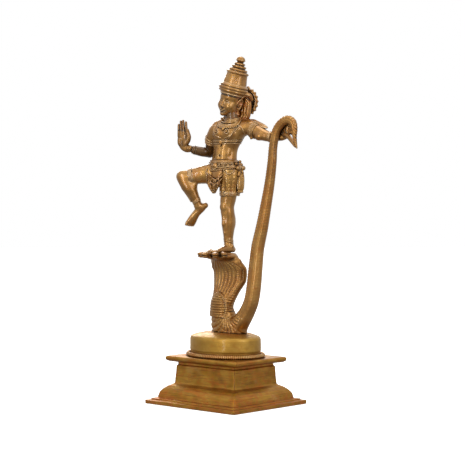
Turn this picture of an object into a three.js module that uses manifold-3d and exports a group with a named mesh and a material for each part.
// Small cast icon of a child dancer on a cobra's hood, holding the cobra's tail.
// Millimetres, +Z up. The front of the figure faces -Y and its left hand reaches towards +X.
// The origin is the centre of the pedestal's flat underside.
//
// The real thing is a lost-wax casting. Each mesh here is one of the wax parts or castings that
// the founder joins, and JOINT_GAP stands in for the fused or brazed line between two of them.

import * as THREE from 'three';
import { mergeVertices } from 'three/addons/utils/BufferGeometryUtils.js';
import Module from 'manifold-3d';

const wasm = await Module();
wasm.setup();

// ---- driving dimensions -----------------------------------------------------------------

const JOINT_GAP = 0.3;
const SHORTEST_EDGE = 0.02;
const SWELL = 0.42;     // how far a corner moves out so that both of its faces clear JOINT_GAP

const PEDESTAL_TOP = 41.5;
const DRUM = { centreX: -0.4, halfX: 34.4, halfY: 26.4, rim: 57.2, top: 62.6 };
const BEAD_RING = { halfX: 36.4, halfY: 28.2, tube: 1.7 };
const COIL_TOP = 77.6;
const HOOD_TOP = 131.9;
const SOLE = 132.2;                 // underside of the standing foot
const HEM = 181.6;                  // lower edge of the cloth on the standing leg
const WAIST_LINE = 210.5;           // where the torso leaves the cloth
const NECK_LINE = 246.6;            // where the head casting leaves the torso
const HEAD_CENTRE = [5.4, 1, 264.8];
const HEAD_LEAN = THREE.MathUtils.degToRad(14.8);    // towards the figure's left
const DIADEM_PITCH = THREE.MathUtils.degToRad(4.5);   // the crown sits higher in front
const CROWN_HEIGHT = 38.1;          // from the middle of the head to the tip
const WHEEL = { centre: [12.6, 14.4, 263], radius: 12, thick: 1.9, teeth: 18 };

// ---- colours ----------------------------------------------------------------------------

const bronze = { color: 0x8f6430, roughness: 0.36, metalness: 0.9 };
const yellowBrass = { color: 0x9c7228, roughness: 0.4, metalness: 0.9 };
const redBronze = { color: 0x8a552b, roughness: 0.42, metalness: 0.9 };
const figureBronze = { color: 0x94672f, roughness: 0.33, metalness: 0.9 };

// ---- general helpers --------------------------------------------------------------------

const statue = new THREE.Group();

function add(name, geometry, finish) {
  const mesh = new THREE.Mesh(geometry, new THREE.MeshStandardMaterial(finish));
  mesh.name = name;
  statue.add(mesh);
}

function toSolid(geometry) {
  const bare = geometry.clone();
  bare.deleteAttribute('normal');
  bare.deleteAttribute('uv');
  const merged = mergeVertices(bare, 1e-4);
  const vertProperties = new Float32Array(merged.attributes.position.array);
  const triVerts = new Uint32Array(merged.index.array);
  return new wasm.Manifold(new wasm.Mesh({ numProp: 3, vertProperties, triVerts }));
}

function toGeometry(solid) {
  const mesh = solid.getMesh();
  const geometry = new THREE.BufferGeometry();
  geometry.setAttribute('position', new THREE.BufferAttribute(new Float32Array(mesh.vertProperties), 3));
  geometry.setIndex(new THREE.BufferAttribute(new Uint32Array(mesh.triVerts), 1));
  geometry.computeVertexNormals();
  return geometry;
}

function join(...geometries) {
  return toGeometry(geometries.map(toSolid).reduce((a, b) => a.add(b)));
}

function cut(geometry, ...tools) {
  return toGeometry(tools.map(toSolid).reduce((a, b) => a.subtract(b), toSolid(geometry)));
}

// The same shape with its skin moved out by the joint gap.
function swollen(geometry) {
  const skin = geometry.clone();
  skin.deleteAttribute('normal');
  skin.deleteAttribute('uv');
  const merged = mergeVertices(skin, 1e-4);
  merged.computeVertexNormals();
  const { position, normal } = merged.attributes;
  for (let i = 0; i < position.count; i++) {
    position.setX(i, position.getX(i) + normal.getX(i) * SWELL);
    position.setY(i, position.getY(i) + normal.getY(i) * SWELL);
    position.setZ(i, position.getZ(i) + normal.getZ(i) * SWELL);
  }
  return merged;
}

// A piece trimmed to sit against its neighbours. Only its largest body is kept, so that the
// trimming leaves no loose sliver behind.
function fitted(geometry, ...neighbours) {
  const bodies = toSolid(cut(geometry, ...neighbours.map(swollen))).decompose();
  bodies.sort((a, b) => b.volume() - a.volume());
  return toGeometry(bodies[0].simplify(SHORTEST_EDGE));
}

// A tube through stations [x, y, z, wide, deep]: wide is the half size along `side`, deep the
// half size across it. `grow` fattens it, `reach` lengthens both ends, and from..to keeps a part.
// A `level` limb keeps every section horizontal, for shapes that are stacked upwards.
function limb(stations, options = {}) {
  const { side = [1, 0, 0], sides = 12, rows = Math.round((stations.length - 1) * 1.6) } = options;
  const { grow = 0, reach = grow, from = 0, to = 1, level = false } = options;
  const path = new THREE.CatmullRomCurve3(stations.map((s) => new THREE.Vector3(s[0], s[1], s[2])));
  const size = new THREE.CatmullRomCurve3(stations.map((s) => new THREE.Vector3(s[3], s[4], 0)));
  const sideways = new THREE.Vector3(...side);
  const geometry = new THREE.CylinderGeometry(1, 1, 1, sides, rows);
  const position = geometry.attributes.position;
  for (let i = 0; i < position.count; i++) {
    const along = position.getY(i) + 0.5;
    const t = from + (to - from) * along;
    const tangent = level ? new THREE.Vector3(0, 0, 1) : path.getTangent(t);
    const wide = sideways.clone().addScaledVector(tangent, -sideways.dot(tangent)).normalize();
    const deep = wide.clone().cross(tangent);
    const half = size.getPoint(t);
    const point = path.getPoint(t);
    point.addScaledVector(wide, position.getX(i) * (half.x + grow));
    point.addScaledVector(deep, position.getZ(i) * (half.y + grow));
    if (along < 1e-6) point.addScaledVector(tangent, -reach);
    if (along > 1 - 1e-6) point.addScaledVector(tangent, reach);
    position.setXYZ(i, point.x, point.y, point.z);
  }
  geometry.computeVertexNormals();
  return geometry;
}

// A ring worn on a limb: the limb fattened by `thick`, less the limb with a joint gap round it.
function worn(stations, { from, to, thick }, options = {}) {
  const start = Math.max(0, from - 0.04);
  const stop = Math.min(1, to + 0.04);
  const outer = limb(stations, { ...options, grow: thick, reach: 0, from, to, rows: 1 });
  const inner = limb(stations, { ...options, grow: JOINT_GAP, reach: 1, from: start, to: stop, rows: 3 });
  return cut(outer, inner);
}

function ball(centre, radii, columns = 12, rows = 8) {
  const geometry = new THREE.SphereGeometry(1, columns, rows);
  geometry.scale(...radii);
  geometry.translate(...centre);
  return geometry;
}

function turned(profile, columns = 14) {
  const geometry = new THREE.LatheGeometry(profile.map(([r, z]) => new THREE.Vector2(r, z)), columns);
  geometry.rotateX(Math.PI / 2);
  return geometry;
}

// Puts a shape made round +Z into the leaning head's frame.
function onHead(geometry, pitch = 0) {
  geometry.rotateX(-pitch);
  geometry.rotateY(HEAD_LEAN);
  geometry.translate(...HEAD_CENTRE);
  return geometry;
}

// ---- pedestal and drum ------------------------------------------------------------------

// A rectangular block whose four sides follow one moulding: [half length, half width, height].
function mouldedBlock(moulding) {
  const rows = moulding.length - 1;
  const geometry = new THREE.CylinderGeometry(1, 1, 1, 4, rows);
  const position = geometry.attributes.position;
  for (let i = 0; i < position.count; i++) {
    const [halfX, halfY, height] = moulding[Math.round((position.getY(i) + 0.5) * rows)];
    const signX = Math.round(position.getX(i) + position.getZ(i));
    const signZ = Math.round(position.getZ(i) - position.getX(i));
    position.setXYZ(i, signX * halfX, height, signZ * halfY);
  }
  geometry.rotateX(Math.PI / 2);
  geometry.computeVertexNormals();
  return geometry;
}

function pedestal() {
  const foot = [[53, 47, 0], [53, 47, 3.3], [49.3, 43.3, 3.7], [49.3, 43.3, 4.8], [45.8, 38.6, 5.2]];
  const bulge = [[45.6, 38.2, 7.4], [44.6, 37.2, 10.4], [42.4, 35, 13.2], [39.4, 31.8, 15.6]];
  const dado = [[36.4, 28.6, 17.2], [35.4, 27.4, 18.4], [34.6, 26.6, 33.2], [33.6, 25.6, 34.2], [33.6, 25.6, 36]];
  const cornice = [[39.8, 30, 36.9], [41.8, 32, 38.7], [41.8, 32, 40.3], [40.8, 31, PEDESTAL_TOP]];
  return cut(mouldedBlock([...foot, ...bulge, ...dado, ...cornice]), swollen(drumPeg()));
}

function drumBody() {
  const bottom = PEDESTAL_TOP + JOINT_GAP;
  const side = [[0, bottom], [33.8, bottom], [33.8, 46.4], [34.4, 47.2], [34.4, DRUM.rim]];
  const crown = [[33.6, 58.9], [31.4, 59.9], [26, 61.5], [20, DRUM.top], [0, DRUM.top]];
  const profile = [...side, ...crown];
  const geometry = turned(profile, 28);
  geometry.scale(1, DRUM.halfY / DRUM.halfX, 1);
  geometry.translate(DRUM.centreX, 0, 0);
  return geometry;
}

// The round tenon under the drum that drops into the pedestal.
function drumPeg() {
  const top = PEDESTAL_TOP + 1;
  return turned([[0, 28], [7, 28], [7, top], [0, top]], 12);
}

function beadRing() {
  const geometry = new THREE.TorusGeometry(BEAD_RING.halfX, BEAD_RING.tube, 8, 32);
  const position = geometry.attributes.position;
  for (let i = 0; i < position.count; i++) {
    const angle = Math.atan2(position.getY(i), position.getX(i));
    const out = Math.hypot(position.getX(i), position.getY(i)) - BEAD_RING.halfX;
    const outward = new THREE.Vector2(Math.cos(angle) / BEAD_RING.halfX, Math.sin(angle) / BEAD_RING.halfY);
    outward.normalize();
    const x = BEAD_RING.halfX * Math.cos(angle) + outward.x * out;
    const y = BEAD_RING.halfY * Math.sin(angle) + outward.y * out;
    position.setXYZ(i, x, y, position.getZ(i));
  }
  geometry.translate(DRUM.centreX, 0, PEDESTAL_TOP + JOINT_GAP + BEAD_RING.tube);
  return geometry;
}

// ---- serpent ----------------------------------------------------------------------------

const coilStations = [
  [4.6, 0, DRUM.top + JOINT_GAP, 19.6, 10.2], [5.7, 0, 67.5, 20, 10.2], [6.9, 0, 71.5, 22, 10.2],
  [7.6, 0, 75, 24, 10], [8.4, 0, COIL_TOP, 25.2, 9.6],
];
const hoodStations = [
  [-2.6, -2, COIL_TOP + JOINT_GAP, 12, 9.2], [-2.6, -2, 85, 11.4, 8.8], [-1, -1, 91.7, 12.6, 8],
  [0, 1.6, 98.9, 14.6, 7.4], [1, 4, 106, 17.8, 7], [1.2, 4.6, 113, 18.8, 6.8],
  [1, 3.6, 119, 18.8, 7.2], [0.2, 1, 125, 15, 8.6], [0, -1, HOOD_TOP, 9.4, 9.2],
];
const tailStations = [
  [21.8, 0, 74.5, 8.8, 6.9], [24.6, 0, 80, 8.4, 6.6], [29.6, 0.1, 91, 7.2, 6.1], [32.6, 0.2, 104, 6.6, 5.6],
  [34.4, 0.4, 119, 6.2, 5.1], [36.8, 0.6, 137, 5.8, 4.8], [41.6, 0.7, 154.5, 5.4, 4.5],
  [45.8, 0.9, 173, 4.9, 4], [49.8, 1.1, 192, 4.5, 3.6], [52.4, 1.3, 210, 4.1, 3.3],
  [53.4, 1.5, 222.6, 3.8, 3.1],
];
const hookStations = [
  [53.4, 1.5, 222.6 + JOINT_GAP, 3.1, 3.8], [56.4, 1.5, 235, 3, 3.8], [61.6, 1.5, 241.8, 2.9, 3.7],
  [68.8, 1.5, 245.2, 2.8, 3.6], [74.8, 1.5, 243.2, 2.7, 3.4], [77, 1.5, 238, 2.4, 2.7],
  [77.2, 1.5, 231.3, 1.9, 2], [78.1, 1.5, 226.3, 1.3, 1.4], [79.6, 1.5, 221.2, 0.7, 0.6],
];

const coil = () => limb(coilStations, { sides: 16, level: true });
const hood = () => limb(hoodStations, { sides: 16, level: true });
const tail = () => limb(tailStations, { sides: 10 });
const hook = () => limb(hookStations, { side: [0, 1, 0], sides: 10 });

function bellyShield() {
  const dome = ball([-1.6, -6, 84.5], [10.2, 6, 13.6], 12, 8);
  return fitted(dome, hood(), coil());
}

// One of the five small heads that fan forward from the top of the hood.
function cobraHead(index) {
  const angle = THREE.MathUtils.degToRad((index - 2) * 30);
  const reach = [15.5, 19.4, 21.6, 19.4, 15.5][index];
  const at = (r) => [Math.sin(angle) * r, -8 - Math.cos(angle) * r];
  const stations = [
    [...at(4), 128.8, 1.1, 1.9], [...at(reach * 0.45), 129.6, 2, 1.8],
    [...at(reach * 0.72), 130.1, 2.6, 1.6], [...at(reach), 131.7, 1.5, 1.2],
  ];
  const side = [Math.cos(angle), Math.sin(angle), 0];
  return fitted(limb(stations, { side, sides: 8, rows: 4 }), hood());
}

// ---- dancer: legs and cloth -------------------------------------------------------------

const standingShin = [
  [5, -0.6, HEM + 3, 7.2, 7.2], [3.4, -0.8, 177, 6.8, 6.8], [3.2, -1.4, 171.5, 5.8, 6],
  [3.4, -1.2, 167, 6, 6.1], [3.7, -0.4, 162, 6.1, 6.3], [3.5, 0, 156, 5.9, 6.1], [3.4, 0, 151.5, 4.8, 5],
  [3.4, 0.2, 146.5, 3.9, 4.1], [3.2, 0.4, 142, 3.5, 3.9], [3.2, 0.6, SOLE + 2, 3.8, 4.6],
];
const standingFoot = [
  [3.8, 5.4, SOLE + 2.6, 2.4, 2.4], [3.4, 2, SOLE + 3.4, 3.9, 3.4], [2.6, -6, SOLE + 3, 4.4, 3],
  [1.9, -12.5, SOLE + 2.2, 4.9, 2], [1.4, -18, SOLE + 1.6, 3.8, 1.4],
];
const raisedThigh = [
  [-4, -1, 201.5, 8.8, 9], [-12, -7.6, 200.5, 8.2, 8.2], [-19, -13.4, 199.2, 7.4, 7.2],
  [-26, -18.6, 197.8, 6.4, 6.3], [-31.4, -21.8, 197, 5.5, 5.5],
];
const raisedShin = [
  [-30.6, -22.4, 201, 3.8, 4], [-29.4, -22, 196.9, 5.6, 5.8], [-26.6, -21, 192, 5.9, 6],
  [-24.2, -19.6, 188, 5.5, 5.7], [-22.6, -18, 184, 4.7, 4.8], [-21.2, -16.8, 180.4, 3.9, 4],
  [-20.2, -15.4, 176.4, 3.4, 3.6], [-19.6, -14.4, 172.6, 3.2, 3.6],
];
const raisedFoot = [
  [-14.4, -9.6, 173.2, 2.2, 2.2], [-17.8, -11.4, 171, 3.6, 3.4], [-22.2, -13.8, 165.8, 3.5, 3.2],
  [-24.8, -15.4, 161.4, 4.1, 2.8], [-26.4, -16.6, 157.6, 4.5, 2.3], [-27, -17.2, 155, 3.9, 1.8],
];
const soleSide = [-0.27, -0.77, 0.5];   // across the raised foot, towards the big toe
const leftSleeve = [
  [6.6, -0.8, 203, 10.4, 10.6], [6.6, -0.8, 196, 10, 10.2], [6, -0.8, 189, 9.2, 9.4],
  [5.4, -0.6, HEM, 8.4, 8.6],
];
const hipStations = [
  [-1, -1, 190.5, 8, 6], [-1, -1, 195, 14, 10.6], [-1, -1, 201, 16.2, 12], [-1, -1, 206, 15, 11],
  [-1, -1, WAIST_LINE - JOINT_GAP, 12.4, 9.2],
];
const KNEE_BAND = { from: 0.66, to: 0.75, thick: 1.1 };   // along the raised thigh
const HEM_BAND = { from: 0.84, to: 1, thick: 1.1 };       // along the standing thigh's sleeve
const footSide = [0.6, -0.8, 0];    // across the raised shin
const thighSide = [0.64, -0.77, 0];          // across the raised thigh

const raisedSleeve = () => limb(raisedThigh, { side: thighSide, to: KNEE_BAND.to, reach: 0, rows: 6 });
const standingSleeve = () => limb(leftSleeve);
const dhoti = () => join(limb(hipStations, { sides: 16, level: true }), standingSleeve(), raisedSleeve());

function standingLeg() {
  const leg = join(limb(standingShin), limb(standingFoot, { sides: 10 }));
  return fitted(leg, standingSleeve(), hood(), ...hoodHeads());
}

function raisedLeg() {
  const thighEnd = limb(raisedThigh, { side: thighSide, from: KNEE_BAND.to, reach: 0, rows: 3 });
  const shin = limb(raisedShin, { side: footSide });
  return fitted(join(thighEnd, shin, limb(raisedFoot, { side: soleSide, sides: 10 })), raisedSleeve());
}

const hoodHeads = () => [0, 1, 2, 3, 4].map(cobraHead);
const kneeBand = () => fitted(worn(raisedThigh, KNEE_BAND, { side: thighSide }), raisedLeg());
const hemBand = () => worn(leftSleeve, HEM_BAND);

// ---- dancer: trunk, arms and head -------------------------------------------------------

const trunkStations = [
  [-1, -1, WAIST_LINE, 11.9, 8.8], [-0.6, -0.4, 217, 11.1, 7.9], [0.2, 0, 222, 11.2, 8.1],
  [1.8, 0, 228, 13, 9], [3.5, 0, 234, 14.5, 9.4], [5, 0.2, 239.6, 15, 8.4], [6.2, 0.6, 243.8, 11, 6.9],
  [7, 1, NECK_LINE, 7, 5.8],
];
const rightArmStations = [
  [-3, -3.4, 239.4, 5.2, 5.2], [-8, -5.2, 238.8, 6.2, 6.2], [-13.4, -3, 232, 5.5, 5.5],
  [-17.6, 0, 225.6, 5, 5], [-20.6, 2, 219.6, 4.7, 4.5], [-21.8, -2.6, 219.8, 4.4, 4.3],
  [-26.6, -8, 221, 4, 3.9], [-32, -13, 222.8, 3.1, 3],
];
const rightHandStations = [
  [-32.2, -13.2, 222.8, 3, 2.8], [-34.6, -14, 223, 4.2, 3], [-37, -14.6, 226, 5.4, 2.8],
  [-36.6, -15, 231, 6.2, 2.5], [-37, -15.3, 236.3, 5.7, 2.2], [-37.2, -15.6, 241.5, 4.9, 1.8],
  [-37.2, -15.8, 246.2, 3.4, 1.3],
];
const leftArmStations = [
  [15, 5, 240, 6.4, 6.4], [22.7, 6.6, 240.2, 7, 6.8], [29.4, 7, 236.8, 6.4, 6.2], [36.1, 7.4, 234, 5.8, 5.4],
  [42.8, 7.8, 231.9, 4.5, 4.3], [48.4, 8, 231.2, 3.3, 3.2],
];
const leftHandStations = [
  [48.9, 8, 231.2, 3, 3], [53.6, 8.4, 232.4, 5, 3.4], [58.6, 8.2, 235.4, 7.4, 3.4], [63.4, 7.2, 237.2, 7.6, 3],
  [66.8, 6, 236.8, 4.8, 2.2],
];
const pointingFinger = [[63, 6.6, 234.4, 2.4, 2.4], [70, 4.6, 229, 1.6, 1.6], [76, 3.2, 224.8, 1.1, 1.1]];
const neckStations = [[7, 1, NECK_LINE, 5.6, 5.2], [6.6, 1.2, 250, 5.2, 5], [5.4, 1.4, 256, 5.4, 5.2]];
const CHEST_YAW = THREE.MathUtils.degToRad(17);
const chestFrame = { side: [Math.cos(CHEST_YAW), Math.sin(CHEST_YAW), 0], sides: 14, level: true };
const rightArmFrame = { side: [0.7, 0.7, 0] };
const leftArmFrame = { side: [0, 1, 0] };
const palmSide = [0.94, 0.35, 0];
const RIGHT_BRACELET = { from: 0.86, to: 0.93, thick: 1.1 };
const LEFT_BRACELET = { from: 0.88, to: 0.95, thick: 1.1 };
const RIGHT_ARMLET = { from: 0.28, to: 0.38, thick: 1.3 };
const LEFT_ARMLET = { from: 0.42, to: 0.52, thick: 1.3 };
const STANDING_ANKLET = { from: 0.84, to: 0.88, thick: 1.1 };
const RAISED_ANKLET = { from: 0.8, to: 0.86, thick: 1.1 };

const trunk = () => limb(trunkStations, chestFrame);
const torso = () => fitted(trunk(), dhoti());
const rightArm = () => fitted(limb(rightArmStations, rightArmFrame), trunk());
const leftArm = () => fitted(limb(leftArmStations, leftArmFrame), trunk());
const rightHand = () => fitted(limb(rightHandStations, { side: palmSide, sides: 10 }), rightArm());

function leftHand() {
  const palm = limb(leftHandStations, { side: [0, 0, 1], sides: 10 });
  const finger = limb(pointingFinger, { ...leftArmFrame, sides: 6 });
  return fitted(join(palm, finger), tail(), hook(), leftArm());
}

const skull = () => onHead(ball([0, 0, 0], [9.6, 10.4, 12.8], 16, 12));
const throat = () => limb(neckStations, { level: true });
const head = () => fitted(join(skull(), throat()), trunk());

function crown() {
  const band = [[0, 6], [11, 6], [12.4, 7], [12.4, 9], [11.6, 9.6], [12.2, 10.4], [12.2, 12], [10.6, 12.8]];
  const drum = [[10.2, 14], [8.8, 22.6], [9.2, 24.6]];
  const tiers = [[7.4, 25.4], [7.2, 26.8], [7.4, 28], [5, 28.8], [5, 30.4], [2.8, 31.4], [2.6, 32.4]];
  const finial = [[3.8, 34], [3.6, 36.2], [1.6, CROWN_HEIGHT], [0, CROWN_HEIGHT]];
  return fitted(onHead(turned([...band, ...drum, ...tiers, ...finial]), DIADEM_PITCH), skull(), haloWheel());
}

function haloWheel() {
  const outline = new THREE.Shape();
  const steps = WHEEL.teeth * 4;
  for (let i = 0; i < steps; i++) {
    const radius = WHEEL.radius - (i % 4 < 2 ? 0 : 1.3);
    const angle = (i / steps) * 2 * Math.PI;
    const point = [Math.cos(angle) * radius, Math.sin(angle) * radius];
    if (i === 0) outline.moveTo(...point);
    else outline.lineTo(...point);
  }
  outline.closePath();
  const geometry = new THREE.ExtrudeGeometry(outline, { depth: WHEEL.thick, bevelEnabled: false });
  geometry.rotateX(Math.PI / 2);
  geometry.translate(WHEEL.centre[0], WHEEL.centre[1] + WHEEL.thick / 2, WHEEL.centre[2]);
  return geometry;
}

// The short peg that holds the wheel off the back of the head.
function wheelStem() {
  const [x, y, z] = WHEEL.centre;
  const face = y - WHEEL.thick / 2 - JOINT_GAP;
  const peg = limb([[x - 1.6, y - 5.6, z, 2.4, 2.4], [x, face, z, 2.4, 2.4]], { side: [0, 0, 1], sides: 10 });
  return fitted(peg, skull(), haloWheel());
}

// ---- dancer: ornaments ------------------------------------------------------------------

function girdle() {
  const belt = [[-1, -1, 202.6, 17.6, 13.2], [-1, -1, 207.6, 16.4, 12.2], [-1, -1, 212.6, 13.6, 10.4]];
  return fitted(limb(belt, { sides: 16, level: true, rows: 3 }), dhoti(), trunk());
}

function necklace() {
  const collar = [[5.6, 0.2, 238.6, 13.8, 9.6], [6, 0.4, 241.6, 13, 9.2], [6.6, 0.8, 245, 9.4, 7.8]];
  const arms = [limb(rightArmStations, rightArmFrame), limb(leftArmStations, leftArmFrame)];
  return fitted(limb(collar, { ...chestFrame, rows: 3 }), trunk(), ...arms);
}

function chestBand() {
  const band = worn(trunkStations, { from: 0.42, to: 0.47, thick: 1.2 }, chestFrame);
  return fitted(band, limb(rightArmStations, rightArmFrame));
}

function rightArmlet() {
  return fitted(worn(rightArmStations, RIGHT_ARMLET, rightArmFrame), trunk(), chestBand());
}

function frontTassel() {
  const fall = [[0, -13.6, 201.5, 6.6, 2.2], [-1.8, -13, 191, 6.8, 2], [-2.4, -12.4, 183, 1.8, 1.4]];
  return fitted(limb(fall, { sides: 8 }), dhoti(), girdle());
}

function hipKnot(side) {
  const knot = ball([-1 + side * 18.4, 0.6, 206.6], [3, 4.4, 5], 8, 6);
  return fitted(knot, dhoti(), girdle(), trunk());
}

function sashFall() {
  const fall = [[17.6, 1.5, 201, 1.8, 3.8], [17.6, 1.5, 193, 1.8, 3.6], [17, 1.5, 184.6, 1.3, 3]];
  return fitted(limb(fall, { sides: 8 }), dhoti(), girdle(), hipKnot(1));
}

function earRing(side) {
  const drop = onHead(ball([side * 9.3, 1.4, -11], [1.7, 2.2, 2.2], 10, 8));
  return fitted(drop, skull(), trunk(), throat(), backHair());
}

function backHair() {
  const hair = onHead(ball([3.4, 8.4, -8], [12.6, 4.6, 11.6], 14, 10));
  return fitted(hair, skull(), throat(), trunk(), wheelStem(), haloWheel());
}

// The crest that stands up behind the left armlet, pointed towards the elbow.
function shoulderCrest() {
  const crest = [[22, 8.4, 247.2, 4.6, 2.4], [30, 8.8, 244.4, 3.8, 2.4], [38.4, 8.8, 240, 1.4, 1.2]];
  const armlet = worn(leftArmStations, LEFT_ARMLET, leftArmFrame);
  return fitted(limb(crest, { side: [0.2, 1, 0.3], sides: 8 }), leftArm(), trunk(), necklace(), armlet);
}

// ---- assembly ---------------------------------------------------------------------------

add('pedestal', pedestal(), yellowBrass);
add('bead_ring', fitted(beadRing(), drumBody()), redBronze);
add('drum', join(drumBody(), drumPeg()), yellowBrass);
add('serpent_coil', coil(), redBronze);
add('serpent_hood', hood(), bronze);
add('belly_shield', bellyShield(), bronze);
hoodHeads().forEach((geometry, index) => add(`cobra_head_${index + 1}`, geometry, bronze));
add('serpent_tail', fitted(tail(), coil(), hood()), redBronze);
add('tail_hook', fitted(hook(), tail()), bronze);

add('standing_leg', standingLeg(), figureBronze);
add('raised_leg', raisedLeg(), figureBronze);
add('short_dhoti', dhoti(), figureBronze);
add('torso', torso(), figureBronze);
add('right_arm', rightArm(), figureBronze);
add('right_hand', rightHand(), figureBronze);
add('left_arm', leftArm(), figureBronze);
add('left_hand', leftHand(), figureBronze);
add('head', head(), figureBronze);
add('crown', crown(), figureBronze);
add('back_hair', backHair(), figureBronze);
add('halo_wheel', haloWheel(), figureBronze);
add('wheel_stem', wheelStem(), figureBronze);

add('girdle', girdle(), figureBronze);
add('front_tassel', frontTassel(), figureBronze);
add('left_hip_knot', hipKnot(1), figureBronze);
add('right_hip_knot', hipKnot(-1), figureBronze);
add('left_sash_fall', sashFall(), figureBronze);
add('knee_band', kneeBand(), figureBronze);
add('hem_band', hemBand(), figureBronze);
add('chest_band', chestBand(), figureBronze);
add('necklace', necklace(), figureBronze);
add('shoulder_crest', shoulderCrest(), figureBronze);
add('right_armlet', rightArmlet(), figureBronze);
add('left_armlet', worn(leftArmStations, LEFT_ARMLET, leftArmFrame), figureBronze);
add('right_bracelet', worn(rightArmStations, RIGHT_BRACELET, rightArmFrame), figureBronze);
add('left_bracelet', worn(leftArmStations, LEFT_BRACELET, leftArmFrame), figureBronze);
add('standing_anklet', worn(standingShin, STANDING_ANKLET), figureBronze);
add('raised_anklet', worn(raisedShin, RAISED_ANKLET, { side: footSide }), figureBronze);
add('left_earring', earRing(1), figureBronze);
add('right_earring', earRing(-1), figureBronze);

export default statue;
